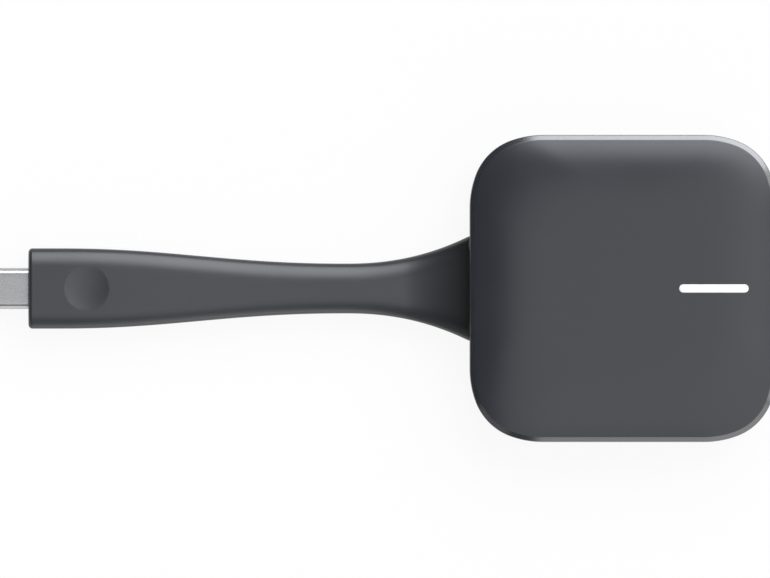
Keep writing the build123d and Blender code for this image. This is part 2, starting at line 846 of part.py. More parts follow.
# Tail: one soft moulding from the plug's shoulder to a flange inside the wall,
# hollow for the plug's hard core and for the cable
with BuildPart() as tail:
    with BuildSketch(across(shoulder_x)):
        RectangleRounded(grip_width, grip_thickness, (grip_thickness - edge_flat) / 2)
    extrude(amount=grip_straight)
    fillet(tail.faces().sort_by(Axis.X)[0].edges(), end_rounding)
    swell_stations = [swell_x + (neck_x - swell_x) * i / swell_spans for i in range(swell_spans)]
    flare_stations = [neck_x + (wall_outer_x - neck_x) * i / flare_spans for i in range(flare_spans + 1)]
    for x in swell_stations + flare_stations:
        width, thickness = tail_section(x)
        with BuildSketch(across(x)):
            RectangleRounded(width, thickness, (thickness - edge_flat) / 2)
    loft(ruled=True)
    with BuildSketch(across(wall_outer_x)):
        RectangleRounded(anchor_width, anchor_thickness, anchor_corner)
    extrude(amount=flange_front_x - wall_outer_x)
    with BuildSketch(across(flange_front_x)):
        RectangleRounded(flange_width, anchor_thickness, anchor_corner)
    extrude(amount=flange_length)
    dimple_radius = (dimple_width**2 / 4 + dimple_depth**2) / (2 * dimple_depth)
    dimple_top = tail_height + grip_thickness / 2
    with Locations((shoulder_x + dimple_distance, 0, dimple_top + dimple_radius - dimple_depth)):
        Sphere(dimple_radius, mode=Mode.SUBTRACT)
    with BuildSketch(across(mould_front_x - fit)):
        RectangleRounded(mould_width + 2 * fit, mould_thickness + 2 * fit, mould_corner)
    extrude(amount=mould_length + 2 * fit, mode=Mode.SUBTRACT)
    with BuildSketch(across(shoulder_x)):
        SlotOverall(shell_width + 2 * fit, shell_thickness + 2 * fit)
    extrude(amount=shoulder_wall, mode=Mode.SUBTRACT)
    with BuildSketch(across(mould_back_x)):
        Circle(cable_diameter / 2 + fit)
    extrude(amount=flange_back_x - mould_back_x, mode=Mode.SUBTRACT)
save(tail, "tail_overmould")

with BuildPart() as tail_cable:
    with BuildSketch(across(cable_start_x)):
        Circle(cable_diameter / 2)
    extrude(amount=cable_end_x - cable_start_x)
save(tail_cable, "tail_cable")

# Clamp that holds the cable down in its cradle
with BuildPart() as cable_clamp:
    arch_radius = cable_diameter / 2 + clamp_arch
    with BuildSketch(across(clamp_front_x)):
        with Locations((0, clamp_split / 2)):
            Rectangle(clamp_width, clamp_ear, align=(Align.CENTER, Align.MIN))
            Rectangle(
                2 * arch_radius,
                frame_bottom - fit - tail_height - clamp_split / 2,
                align=(Align.CENTER, Align.MIN),
            )
        Circle(cable_diameter / 2 + fit, mode=Mode.SUBTRACT)
    extrude(amount=clamp_length)
    with BuildSketch(level(tail_height)):
        with Locations(*clamp_screw_places):
            Circle(screw_hole_radius)
    extrude(amount=clamp_split + clamp_ear, mode=Mode.SUBTRACT)
save(cable_clamp, "cable_clamp")

save(screws(clamp_screw_places, tail_height + clamp_split / 2 + clamp_ear), "clamp_screws")

# Plug: drawn shell, insulator with a slotted mouth, two rows of contacts, side
# latches, a small board, a folded shield crimped on the cable, and a hard core
with BuildPart() as plug_shell:
    with BuildSketch(across(shell_tip_x)):
        SlotOverall(shell_width, shell_thickness)
        SlotOverall(shell_width - 2 * shell_wall, shell_thickness - 2 * shell_wall, mode=Mode.SUBTRACT)
    extrude(amount=shell_back_x - shell_tip_x)
    chamfer(plug_shell.faces().sort_by(Axis.X)[0].edges(), shell_wall / 4)
save(plug_shell, "plug_shell")

contact_middle = plug_board_thickness / 2 + contact_thickness / 2
latch_y = mouth_width / 2 - latch_width / 2
with BuildPart() as plug_insulator:
    with BuildSketch(across(insulator_front_x)):
        SlotOverall(shell_width - 2 * (shell_wall + pilot_fit), shell_thickness - 2 * (shell_wall + pilot_fit))
    extrude(amount=shell_back_x - insulator_front_x)
    with BuildSketch(across(insulator_front_x)):
        RectangleRounded(mouth_width, mouth_height, mouth_height / 4)
    extrude(amount=mouth_depth, mode=Mode.SUBTRACT)
    with BuildSketch(across(insulator_front_x)):
        for side in (-1, 1):
            with Locations((0, side * contact_middle)):
                with GridLocations(contact_pitch, 0, contact_count, 1):
                    Rectangle(contact_width + 2 * pilot_fit, contact_thickness + 2 * pilot_fit)
            with Locations((side * latch_y, 0)):
                Rectangle(latch_width + 2 * pilot_fit, latch_thickness + 2 * pilot_fit)
    extrude(amount=shell_back_x - insulator_front_x, mode=Mode.SUBTRACT)
save(plug_insulator, "plug_insulator")

contact_tip_x = insulator_front_x + contact_setback
contact_end_x = plug_board_front_x + contact_tail


def contact_row(side):
    """One row of spring contacts with a bump near each tip, above or below the middle."""
    inner = plug_board_thickness / 2
    with BuildPart() as row:
        for index in range(contact_count):
            y = (index - (contact_count - 1) / 2) * contact_pitch - contact_width / 2
            with BuildSketch(Plane(origin=(0, y, tail_height), x_dir=(1, 0, 0), z_dir=(0, -1, 0))):
                with BuildLine():
                    Polyline(
                        (contact_tip_x, side * inner),
                        (contact_tip_x + contact_bump_length / 2, side * (inner - contact_bump)),
                        (contact_tip_x + contact_bump_length, side * inner),
                        (contact_end_x, side * inner),
                        (contact_end_x, side * (inner + contact_thickness)),
                        (contact_tip_x, side * (inner + contact_thickness)),
                        close=True,
                    )
                make_face()
            extrude(amount=-contact_width)
    return row


save(contact_row(1), "upper_contacts")
save(contact_row(-1), "lower_contacts")

with BuildPart() as plug_latches:
    with BuildSketch(across(insulator_front_x + latch_setback)):
        with GridLocations(2 * latch_y, 0, 2, 1):
            Rectangle(latch_width, latch_thickness)
    extrude(amount=shell_back_x - insulator_front_x - latch_setback)
    chamfer(plug_latches.faces().filter_by(Axis.X).group_by(Axis.X)[0].edges().filter_by(Axis.Z), latch_width / 3)
save(plug_latches, "plug_latches")

with BuildPart() as plug_board:
    with BuildSketch(across(plug_board_front_x)):
        Rectangle(plug_board_width, plug_board_thickness)
    extrude(amount=plug_board_length)
save(plug_board, "plug_board")

with BuildPart() as plug_chip:
    with BuildSketch(level(tail_height + plug_board_thickness / 2)):
        with Locations(((contact_end_x + plug_board_back_x) / 2, 0)):
            Rectangle(plug_chip_side, plug_chip_side)
    extrude(amount=plug_chip_height)
save(plug_chip, "plug_chip")

with BuildPart() as plug_shield:
    with BuildSketch(across(shield_front_x)):
        RectangleRounded(shield_width, shield_thickness, 2 * shield_wall)
    extrude(amount=shield_length + shield_wall)
    with BuildSketch(across(shield_front_x)):
        RectangleRounded(shield_width - 2 * shield_wall, shield_thickness - 2 * shield_wall, shield_wall)
    extrude(amount=shield_length, mode=Mode.SUBTRACT)
    with BuildSketch(across(shield_back_x)):
        Circle(cable_diameter / 2 + fit + shield_wall)
    extrude(amount=crimp_length)
    with BuildSketch(across(shield_back_x)):
        Circle(cable_diameter / 2 + fit)
    extrude(amount=crimp_length, mode=Mode.SUBTRACT)
save(plug_shield, "plug_shield")

with BuildPart() as plug_wires:
    with BuildSketch(across(plug_board_back_x + fit)):
        with GridLocations(plug_wire_pitch, plug_wire_pitch, 2, 2):
            Circle(wire_diameter / 2)
    extrude(amount=cable_start_x - plug_board_back_x - 2 * fit)
save(plug_wires, "plug_wires")

with BuildPart() as plug_core:
    with BuildSketch(across(mould_front_x)):
        RectangleRounded(mould_width, mould_thickness, mould_corner)
    extrude(amount=mould_length)
    with BuildSketch(across(mould_front_x)):
        SlotOverall(shell_width + 2 * pilot_fit, shell_thickness + 2 * pilot_fit)
    extrude(amount=shell_back_x - mould_front_x, mode=Mode.SUBTRACT)
    with BuildSketch(across(shield_front_x - fit)):
        RectangleRounded(shield_width + 2 * fit, shield_thickness + 2 * fit, 2 * shield_wall)
    extrude(amount=shield_length + shield_wall + 2 * fit, mode=Mode.SUBTRACT)
    with BuildSketch(across(shield_back_x)):
        Circle(cable_diameter / 2 + shield_wall + 2 * fit)
    extrude(amount=mould_back_x - shield_back_x, mode=Mode.SUBTRACT)
save(plug_core, "plug_core")

# Wires from the cable's end to the connector on the board
with BuildPart() as cable_wires:
    for index, slot in enumerate(wire_slots):
        turn = Vector(wire_ring, 0, 0).rotate(Axis.Z, 360 * index / len(wire_slots))
        end_y = wire_pitch * slot
        with BuildLine() as route:
            FilletPolyline(
                (cable_end_x, turn.X, tail_height + turn.Y),
                (cable_end_x + wire_lead, turn.X, tail_height + turn.Y),
                (wire_end_x - wire_lead, end_y, wire_height),
                (wire_end_x, end_y, wire_height),
                radius=wire_bend,
            )
        with BuildSketch(Plane(origin=route.line @ 0, z_dir=route.line % 0)):
            RegularPolygon(wire_diameter / 2, 6)
        sweep(path=route.line)
save(cable_wires, "cable_wires")

with BuildPart() as wire_plug:
    with BuildSketch(across(wire_end_x, wire_height)):
        RectangleRounded(
            connector_width - 2 * connector_wall - 2 * fit,
            connector_height - 2 * connector_wall - 2 * fit,
            connector_wall / 2,
        )
    extrude(amount=connector_length - connector_wall)
save(wire_plug, "wire_plug")

with BuildPart() as wire_socket:
    with BuildSketch(across(connector_front_x, wire_height)):
        Rectangle(connector_width, connector_height)
    extrude(amount=connector_length)
    with BuildSketch(across(connector_front_x, wire_height)):
        Rectangle(connector_width - 2 * connector_wall, connector_height - 2 * connector_wall)
    extrude(amount=connector_length - connector_wall, mode=Mode.SUBTRACT)
save(wire_socket, "wire_socket")
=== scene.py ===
from math import cos, pi, radians, sin, tan

import bmesh
import bpy
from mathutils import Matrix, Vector


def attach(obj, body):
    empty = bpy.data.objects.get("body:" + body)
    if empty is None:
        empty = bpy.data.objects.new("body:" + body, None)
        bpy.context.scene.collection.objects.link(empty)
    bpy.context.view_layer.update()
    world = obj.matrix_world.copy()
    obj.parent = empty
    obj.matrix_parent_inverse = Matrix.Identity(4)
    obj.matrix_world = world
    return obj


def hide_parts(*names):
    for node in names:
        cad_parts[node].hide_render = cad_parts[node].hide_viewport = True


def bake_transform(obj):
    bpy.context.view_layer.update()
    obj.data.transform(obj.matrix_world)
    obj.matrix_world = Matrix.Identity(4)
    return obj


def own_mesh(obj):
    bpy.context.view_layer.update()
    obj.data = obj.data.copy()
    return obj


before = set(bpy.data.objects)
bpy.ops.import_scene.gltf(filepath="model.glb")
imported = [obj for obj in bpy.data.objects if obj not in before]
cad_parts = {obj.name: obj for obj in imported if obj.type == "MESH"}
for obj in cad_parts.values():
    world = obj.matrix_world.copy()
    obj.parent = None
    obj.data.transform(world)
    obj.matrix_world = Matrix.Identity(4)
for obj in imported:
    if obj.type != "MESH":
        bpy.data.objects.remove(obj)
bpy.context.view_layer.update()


# Camera. It hangs straight above the gap between the puck and the grip, with a long lens, so that
# every height shows at nearly one scale. The picture takes in the view width at the view level.
def new_object(name, data):
    """An object in the scene that shows a mesh, a curve, a lamp or the camera."""
    made = bpy.data.objects.new(name, data)
    bpy.context.scene.collection.objects.link(made)
    return made


mm = 0.001
sensor_width, lens = 36, 400
view_width, view_level = 154 * mm, 8.5 * mm
camera = new_object("camera", bpy.data.cameras.new("camera"))
camera.data.sensor_width, camera.data.lens, camera.data.clip_end = sensor_width, lens, 10
camera.location = (-47.6 * mm, -0.1 * mm, view_level + view_width * lens / sensor_width)
bpy.context.scene.camera = camera


# Lower case. An open tray moulded in dark plastic with a fine spark-eroded grain, a bevelled foot,
# a notch for the tail, bosses for ten self-tapping screws and ribs under the heat spreader.
class Value:
    """One socket in a sum: each operator adds the Math node that works it out."""

    def __init__(self, work, socket):
        self.work, self.socket = work, socket

    def out(self, name):
        return Value(self.work, self.socket.node.outputs[name])

    def __add__(self, other):
        return self.work.maths("ADD", self, other)

    def __radd__(self, other):
        return self.work.maths("ADD", other, self)

    def __sub__(self, other):
        return self.work.maths("SUBTRACT", self, other)

    def __rsub__(self, other):
        return self.work.maths("SUBTRACT", other, self)

    def __mul__(self, other):
        return self.work.maths("MULTIPLY", self, other)

    def __rmul__(self, other):
        return self.work.maths("MULTIPLY", other, self)

    def __truediv__(self, other):
        return self.work.maths("DIVIDE", self, other)

    def __pow__(self, other):
        return self.work.maths("POWER", self, other)


class Work:
    """A node tree written line by line, for a finish or for a shape."""

    def __init__(self, tree):
        self.tree = tree

    def node(self, kind, settings=(), sockets=(), out=0):
        """Adds a node: its settings first, then the values or links of its sockets."""
        made = self.tree.nodes.new(kind)
        for name, setting in dict(settings).items():
            setattr(made, name, setting)
        for name, given in dict(sockets).items():
            for each in given if isinstance(given, list) else [given]:
                if isinstance(each, Value):
                    self.tree.links.new(each.socket, made.inputs[name])
                else:
                    made.inputs[name].default_value = each
        return Value(self, made.outputs[out] if len(made.outputs) else None)

    def maths(self, operation, *values):
        return self.node("ShaderNodeMath", {"operation": operation}, dict(enumerate(values)))

    def ramp(self, value, low, high):
        """0 below low, 1 above high, straight between them."""
        return self.node("ShaderNodeMapRange", {"clamp": True}, {0: value, 1: low, 2: high})


class Finish(Work):
    """A material with one surface shader; a size in it is in metres on the object."""

    def __init__(self, name, **constants):
        self.material = bpy.data.materials.new(name)
        self.material.use_nodes = True
        super().__init__(self.material.node_tree)
        self.surface = self.tree.nodes["Principled BSDF"]
        self.place = self.node("ShaderNodeTexCoord", out="Object")
        self.set(**constants)

    def set(self, **sockets):
        for name, given in sockets.items():
            socket = self.surface.inputs[name.replace("_", " ")]
            if isinstance(given, Value):
                self.tree.links.new(given.socket, socket)
            else:
                socket.default_value = (*given, 1) if isinstance(given, tuple) else given

    def noise(self, size, detail=2, stretch=(1, 1, 1)):
        """Soft random patches about as large as size, from 0 to 1."""
        scaled = self.node("ShaderNodeMapping", {}, {"Vector": self.place, "Scale": stretch})
        sockets = {"Vector": scaled, "Scale": 1 / size, "Detail": detail}
        return self.node("ShaderNodeTexNoise", {}, sockets)

    def mix(self, share, first, second):
        """A colour between two, by a share."""
        ends = {0: share}
        for socket, colour in ((6, first), (7, second)):
            ends[socket] = (*colour, 1) if isinstance(colour, tuple) else colour
        return self.node("ShaderNodeMix", {"data_type": "RGBA"}, ends, out=2)

    def bump(self, height, depth):
        return self.node("ShaderNodeBump", {}, {"Height": height, "Distance": depth})

    def vary(self, pattern, dark, light, smoothest, rougher, depth):
        """Lets one pattern shift the colour, roughen the surface and raise it by a depth."""
        self.set(
            Base_Color=self.mix(pattern, dark, light),
            Roughness=smoothest + rougher * pattern,
            Normal=self.bump(pattern, depth),
        )


def moulded(name, dark, light, roughness, grain, depth):
    """Moulded plastic: eroded grain of a size and depth, faint flow clouds, a varying gloss."""
    plastic = Finish(name)
    clouds = plastic.noise(14 * mm, 3)
    pores = plastic.noise(grain, 3)
    plastic.set(
        Base_Color=plastic.mix(0.7 * clouds + 0.3 * pores, dark, light),
        Roughness=roughness - 0.05 + 0.06 * clouds + 0.05 * pores,
        Normal=plastic.bump(pores, depth),
    )
    return plastic


puck_half, wide_radius, tight_radius = 30.65, 19.0, 11.6
ease = radians(20)
ease_steps, tight_steps, side_steps = 8, 24, 20


def soft_square(inset, trim=None):
    """Points round the puck at an inset from its widest outline, in millimetres.

    Each corner is a tight arc that two wide ones ease into the sides. The trim shortens the arcs.
    """
    trim = inset if trim is None else trim
    wide, tight = wide_radius - trim, tight_radius - trim
    half = puck_half - inset
    reach = wide * (sin(ease) + 1 - cos(ease)) + tight * (cos(ease) - sin(ease))
    corner = []
    for step in range(ease_steps):
        angle = ease * step / ease_steps
        corner.append((half - wide * (1 - cos(angle)), half - reach + wide * sin(angle)))
    middle = half - wide + (wide - tight) * cos(ease), half - reach + (wide - tight) * sin(ease)
    for step in range(tight_steps + 1):
        angle = ease + (pi / 2 - 2 * ease) * step / tight_steps
        corner.append((middle[0] + tight * cos(angle), middle[1] + tight * sin(angle)))
    corner += [(y, x) for x, y in reversed(corner[:ease_steps])]
    end, start = corner[-1], (-corner[0][1], corner[0][0])
    for step in range(1, side_steps):
        corner.append((end[0] + (start[0] - end[0]) * step / side_steps, half))
    ring = []
    for turn in ((1, 0), (0, 1), (-1, 0), (0, -1)):
        ring += [(turn[0] * x - turn[1] * y, turn[1] * x + turn[0] * y) for x, y in corner]
    return ring


def rounded(corners):
    """A section line whose corners, each (inset, height, radius) in millimetres, are rounded.

    A support point just beside each rounding keeps the shading of the flats level.
    """
    steps, support = 4, 0.05
    line = []
    for index, (x, z, radius) in enumerate(corners):
        if not radius:
            line.append((x, z))
            continue
        corner = Vector((x, z))
        back = (Vector(corners[index - 1][:2]) - corner).normalized()
        ahead = (Vector(corners[index + 1][:2]) - corner).normalized()
        reach = radius / tan(back.angle(ahead) / 2)
        line.append(tuple(corner + back * (reach + support)))
        for step in range(steps + 1):
            share = step / steps
            line.append(tuple(corner + back * reach * (1 - share) ** 2 + ahead * reach * share**2))
        line.append(tuple(corner + ahead * (reach + support)))
    return line


def in_metres(points):
    return [[value * mm for value in point] for point in points]


def smooth(mesh, crease=30):
    """Shades a mesh smooth, but for edges sharper than the crease in degrees."""
    mesh.shade_smooth()
    mesh.set_sharp_from_angle(angle=radians(crease))


def settled(piece):
    """The plain mesh that a piece's modifiers or its curve's bevel give."""
    bpy.context.view_layer.update()
    ready = piece.evaluated_get(bpy.context.evaluated_depsgraph_get())
    return bpy.data.meshes.new_from_object(ready)


def mesh_piece(name, points, faces, finish, crease=30):
    """A new object from points in millimetres."""
    mesh = bpy.data.meshes.new(name)
    mesh.from_pydata(in_metres(points), [], faces)
    mesh.materials.append(finish.material)
    smooth(mesh, crease)
    return new_object(name, mesh)


def loft(name, rings, finish, closed=False, crease=30):
    """A skin over rings of equally many points, with its ends filled or joined."""
    count = len(rings[0])
    points = [point for ring in rings for point in ring]
    faces = []
    for row in range(len(rings) - (0 if closed else 1)):
        here, there = row * count, (row + 1) % len(rings) * count
        for at in range(count):
            after = (at + 1) % count
            faces.append((here + at, here + after, there + after, there + at))
    if not closed:
        faces.append(tuple(reversed(range(count))))
        faces.append(tuple(range(len(points) - count, len(points))))
    return mesh_piece(name, points, faces, finish, crease)


def raised(outline, z):
    """The points of an outline at a height."""
    return [(x, y, z) for x, y in outline]


def upright(name, outline, levels, finish):
    """A straight block between levels over an outline."""
    return loft(name, [raised(outline, z) for z in levels], finish)


def combine(piece, other, operation):
    """Cuts, keeps or joins another piece, which is used up."""
    cut = piece.modifiers.new("cut", "BOOLEAN")
    cut.operation, cut.solver, cut.object = operation, "EXACT", other
    mesh = settled(piece)
    piece.modifiers.clear()
    piece.data = mesh
    bpy.data.objects.remove(other)
    smooth(mesh)


weld = 0.0005 * mm


def merged_copy(node, finish, name):
    """A copy of a CAD node's mesh whose loose triangles are merged."""
    copied = new_object(name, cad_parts[node].data.copy())
    work = bmesh.new()
    work.from_mesh(copied.data)
    bmesh.ops.remove_doubles(work, verts=work.verts, dist=weld)
    bmesh.ops.dissolve_limit(work, angle_limit=radians(0.5), verts=work.verts, edges=work.edges)
    work.to_mesh(copied.data)
    work.free()
    copied.data.materials.clear()
    copied.data.materials.append(finish.material)
    return copied


shell_plastic = moulded(
    "shell_plastic", (0.024, 0.026, 0.033), (0.029, 0.031, 0.038), 0.22, 0.12 * mm, 0.003 * mm
)
level = shell_plastic.node("ShaderNodeSeparateXYZ", {}, {"Vector": shell_plastic.place}, out="Z")
above_seam = shell_plastic.ramp(level, 11.88 * mm, 11.95 * mm)
bevel_polish = above_seam * (1 - shell_plastic.ramp(level, 12.46 * mm, 12.52 * mm))
shell_plastic.set(IOR=1.6, Coat_Weight=bevel_polish, Coat_IOR=2.0, Coat_Roughness=0.16)

wall, tray_top, tray_floor = 1.5, 7.8, 1.5
tray_line = [
    (2.0, 0.0, 0),
    (1.0, 0.0, 0.15),
    (0.0, 0.9, 0.2),
    (0.0, tray_top, 0.15),
    (wall, tray_top, 0.1),
    (wall, tray_floor, 0.25),
    (2.2, tray_floor, 0),
]
tray_rings = [raised(soft_square(inset), z) for inset, z in rounded(tray_line)]
base_case = loft("lower_case", tray_rings, shell_plastic)
notch_half = 7.2
notch = [(-32, -notch_half), (-28, -notch_half), (-28, notch_half), (-32, notch_half)]
combine(base_case, upright("notch", notch, (1.8, 9.0), shell_plastic), "DIFFERENCE")
room_inside = soft_square(2.0)
tray_works = merged_copy("base_case", shell_plastic, "tray_works")
combine(tray_works, upright("inside", room_inside, (1.45, 9.0), shell_plastic), "INTERSECT")
combine(base_case, tray_works, "UNION")
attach(base_case, "base")
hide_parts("base_case")


# Heat path. A milled aluminium plate on the tray's ribs takes the board's heat through a grey
# silicone pad; two more pads fill the gap between the hot chips and the cans over them.
def dress(finish, *nodes):
    """Gives CAD nodes, whose shape is right, a better finish."""
    for node in nodes:
        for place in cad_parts[node].material_slots:
            place.material = finish.material


aluminium = Finish("spreader_aluminium", Metallic=1.0)
strokes = aluminium.noise(0.06 * mm, 2, (0.05, 1, 1))
aluminium.vary(strokes, (0.72, 0.73, 0.74), (0.82, 0.83, 0.84), 0.28, 0.16, 0.002 * mm)
silicone = Finish("silicone_grey", Sheen_Weight=0.2)
dust = silicone.noise(0.4 * mm, 4)
silicone.vary(dust, (0.2, 0.21, 0.22), (0.28, 0.29, 0.3), 0.6, 0.15, 0.01 * mm)
dress(aluminium, "heat_spreader")
dress(silicone, "board_pad", "processor_pad", "radio_pad")

# Main board. Glass-fibre laminate under green solder mask, with copper traces that show through
# the mask as slightly raised lighter lines; four screws hold it on the tray's standoffs.
laminate = Finish("board_laminate", Coat_Weight=0.3, Coat_Roughness=0.2)
traces = laminate.node(
    "ShaderNodeTexBrick",
    {"offset": 0.5, "squash": 1.0},
    {
        "Vector": laminate.place,
        "Scale": 1 / (3.2 * mm),
        "Mortar Size": 0.035,
        "Mortar Smooth": 0.3,
        "Brick Width": 0.9,
        "Row Height": 0.3,
    },
    out="Fac",
)
weave = laminate.noise(0.5 * mm, 2)
laminate.set(
    Base_Color=laminate.mix(traces * 0.8, (0.012, 0.085, 0.03), (0.05, 0.2, 0.07)),
    Roughness=0.3 + 0.15 * weave,
    Normal=laminate.bump(traces + 0.2 * weave, 0.02 * mm),
)
dress(laminate, "main_board")


def spaced(sizes):
    """Sizes by their labels in the tree."""
    return {label.replace("_", " "): size for label, size in sizes.items()}


class Shape(Work):
    """A geometry tree whose sizes, in metres, are its named inputs."""

    def __init__(self, name, **sizes):
        super().__init__(bpy.data.node_groups.new(name, "GeometryNodeTree"))
        face = self.tree.interface
        face.new_socket("Geometry", in_out="INPUT", socket_type="NodeSocketGeometry")
        face.new_socket("Geometry", in_out="OUTPUT", socket_type="NodeSocketGeometry")
        self.sizes = spaced(sizes)
        for label, size in self.sizes.items():
            kind = "NodeSocketInt" if isinstance(size, int) else "NodeSocketFloat"
            face.new_socket(label, in_out="INPUT", socket_type=kind)
        self.entry = self.node("NodeGroupInput")

    def size(self, label):
        return self.entry.out(label)

    def place(self, **along):
        """A point or an offset from its parts along X, Y and Z."""
        return self.node("ShaderNodeCombineXYZ", {}, along)

    def set_at_places(self, geometry):
        """A copy of the geometry at each point that the tree is given."""
        sockets = {"Points": self.size("Geometry"), "Instance": geometry}
        return self.node("GeometryNodeInstanceOnPoints", {}, sockets)

    def finish(self, geometry, finish):
        """Ends the tree: real copies, one material."""
        real = self.node("GeometryNodeRealizeInstances", {}, {"Geometry": geometry})
        sockets = {"Geometry": real, "Material": finish.material}
        last = self.node("GeometryNodeSetMaterial", {}, sockets)
        self.node("NodeGroupOutput", {}, {"Geometry": last})

    def make(self, name, places=((0, 0, 0),), crease=30, **changed):
        """Grows the shape at places in millimetres and leaves a plain closed mesh."""
        seed = bpy.data.meshes.new(name)
        seed.from_pydata(in_metres(places), [], [])
        made = new_object(name, seed)
        grow = made.modifiers.new("grow", "NODES")
        grow.node_group = self.tree
        given = {**self.sizes, **spaced(changed)}
        for socket in self.tree.interface.items_tree:
            if socket.in_out == "INPUT" and socket.name in given:
                grow[socket.identifier] = given[socket.name]
        mesh = settled(made)
        made.modifiers.clear()
        made.data = mesh
        work = bmesh.new()
        work.from_mesh(mesh)
        bmesh.ops.remove_doubles(work, verts=work.verts, dist=weld)
        bmesh.ops.recalc_face_normals(work, faces=work.faces)
        work.to_mesh(mesh)
        work.free()
        smooth(mesh, crease)
        return made


screw = Shape(
    "screw",
    Head_Diameter=2.8 * mm,
    Head_Height=0.9 * mm,
    Shank_Diameter=1.6 * mm,
    Shank_Length=3.2 * mm,
    Socket_Width=1.3 * mm,
    Socket_Depth=0.45 * mm,
    Thread_Pitch=0.4 * mm,
)


def turned(radius, low, high, top_radius=None, sides=40):
    """A turned length of the screw between two heights, straight or tapered."""
    sockets = {
        "Vertices": sides,
        "Radius Bottom": radius,
        "Radius Top": radius if top_radius is None else top_radius,
        "Depth": high - low,
    }
    length = screw.node("GeometryNodeMeshCone", {}, sockets)
    sockets = {"Geometry": length, "Translation": screw.place(Z=low)}
    return screw.node("GeometryNodeTransform", {}, sockets)


edge_bevel, thread_depth, tip_length = 0.12 * mm, 0.14 * mm, 0.5 * mm
head_radius, head_top = screw.size("Head Diameter") / 2, screw.size("Head Height")
bevel_foot, shank_end = head_top - edge_bevel, 0 - screw.size("Shank Length")
core_radius = screw.size("Shank Diameter") / 2 - thread_depth
tip_top = shank_end + tip_length
lengths = [
    turned(head_radius, 0, bevel_foot),
    turned(head_radius, bevel_foot, head_top, head_radius - edge_bevel),
    turned(core_radius, tip_top, 0.1 * mm),
    turned(0.25 * core_radius, shank_end, tip_top, core_radius),
]
blank = screw.node("GeometryNodeMeshBoolean", {"operation": "UNION"}, {"Mesh 2": lengths})
socket_floor = head_top - screw.size("Socket Depth")
driver = turned(screw.size("Socket Width") / 2, socket_floor, head_top + 1 * mm, sides=6)
cut_out = {"Mesh 1": blank, "Mesh 2": driver}
head = screw.node("GeometryNodeMeshBoolean", {"operation": "DIFFERENCE"}, cut_out)
thread_length = screw.size("Shank Length") - 0.7 * mm
winding = {
    "Resolution": 24,
    "Rotations": thread_length / screw.size("Thread Pitch"),
    "Start Radius": core_radius,
    "End Radius": core_radius,
    "Height": thread_length,
}
ridge = {
    "Curve": screw.node("GeometryNodeCurveSpiral", {}, winding),
    "Profile Curve": screw.node(
        "GeometryNodeCurvePrimitiveCircle", {}, {"Resolution": 3, "Radius": 0.13 * mm}
    ),
    "Fill Caps": True,
}
thread = {
    "Geometry": screw.node("GeometryNodeCurveToMesh", {}, ridge),
    "Translation": screw.place(Z=shank_end + 0.55 * mm),
}
both = {"Geometry": [head, screw.node("GeometryNodeTransform", {}, thread)]}
screw_steel = Finish("screw_steel", Metallic=1.0)
scale = screw_steel.noise(0.3 * mm, 3)
screw_steel.vary(scale, (0.36, 0.36, 0.37), (0.5, 0.5, 0.51), 0.3, 0.15, 0.004 * mm)
screw.finish(screw.set_at_places(screw.node("GeometryNodeJoinGeometry", {}, both)), screw_steel)


def set_screws(name, places, seat, node):
    """Screws at places, heads on a seat height, in place of a CAD node."""
    made = screw.make(name, raised(places, seat))
    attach(made, "base")
    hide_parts(node)


corners = ((-1, -1), (-1, 1), (1, -1), (1, 1))
board_middle, board_top = 5.5, 5.6
board_holes = [(board_middle + 17 * x, 16 * y) for x, y in corners]
set_screws("board_screws_set", board_holes, board_top, "board_screws")

# Parts on the board. Black epoxy chips, folded tin-plated cans, wound inductors in ferrite, tan
# ceramic capacitors, a sealed quartz crystal, four white LEDs and two stamped gold-plated antennas.
epoxy = moulded(
    "chip_black", (0.012, 0.012, 0.013), (0.022, 0.022, 0.024), 0.5, 0.08 * mm, 0.004 * mm
)
dress(epoxy, "processor_chip", "memory_chip", "radio_chip", "amplifier_chip", "storage_chip")
dress(epoxy, "power_inductors")
can_steel = Finish("can_steel", Metallic=1.0)
drawn = can_steel.noise(0.25 * mm, 3, (0.2, 1, 1))
can_steel.vary(drawn, (0.6, 0.6, 0.59), (0.72, 0.72, 0.7), 0.26, 0.14, 0.003 * mm)
dress(can_steel, "processor_can", "radio_can", "clock_crystal")
ceramic = moulded(
    "ceramic_tan", (0.36, 0.25, 0.15), (0.44, 0.31, 0.19), 0.4, 0.1 * mm, 0.003 * mm
)
dress(ceramic, "capacitors")
gold = Finish("gold_plate", Metallic=1.0)
plating = gold.noise(0.2 * mm, 2)
gold.vary(plating, (0.78, 0.52, 0.2), (0.88, 0.62, 0.28), 0.2, 0.12, 0.001 * mm)
dress(gold, "antennas")
white_plastic = moulded(
    "connector_white", (0.66, 0.65, 0.61), (0.72, 0.71, 0.67), 0.45, 0.1 * mm, 0.003 * mm
)
dress(white_plastic, "indicator_leds", "wire_plug", "wire_socket")

# Switch. A black housing under a folded steel plate; the sprung steel dome inside clicks when the
# plunger comes down. A silicone stub on the cover presses the plunger.
plunger_black = moulded(
    "plunger_black", (0.015, 0.015, 0.016), (0.025, 0.025, 0.027), 0.4, 0.1 * mm, 0.003 * mm
)
dress(plunger_black, "switch_housing", "switch_plunger")
dress(can_steel, "switch_plate")
dress(silicone, "switch_pusher")
dome = merged_copy("switch_dome", can_steel, "spring_dome")
smooth(dome.data)
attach(dome, "base")
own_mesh(dome)
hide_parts("switch_dome")


